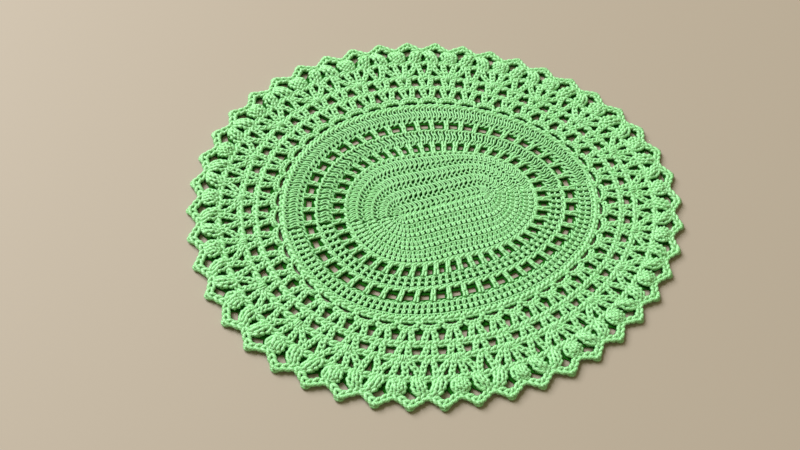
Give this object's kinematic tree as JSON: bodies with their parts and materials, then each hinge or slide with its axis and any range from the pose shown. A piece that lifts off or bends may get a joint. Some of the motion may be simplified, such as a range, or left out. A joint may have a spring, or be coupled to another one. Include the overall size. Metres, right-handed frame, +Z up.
{
  "type": "lace doily",
  "caption": "Oval crocheted cotton lace doily: close centre, eyelet rounds, open lattice, fans and puff stitches, and a scalloped rim; lies flat under an ornament or dish.",
  "frame": {"origin": "on the underside, below the middle of the doily's box", "axes": "+X along the oval's length, +Y across it, +Z up from the table"},
  "size_m": [0.332, 0.2788, 0.0064],
  "materials": {
    "cotton_yarn": "matte"
  },
  "bodies": {
    "root": {"doily": "cotton_yarn"}
  },
  "joints": []
}
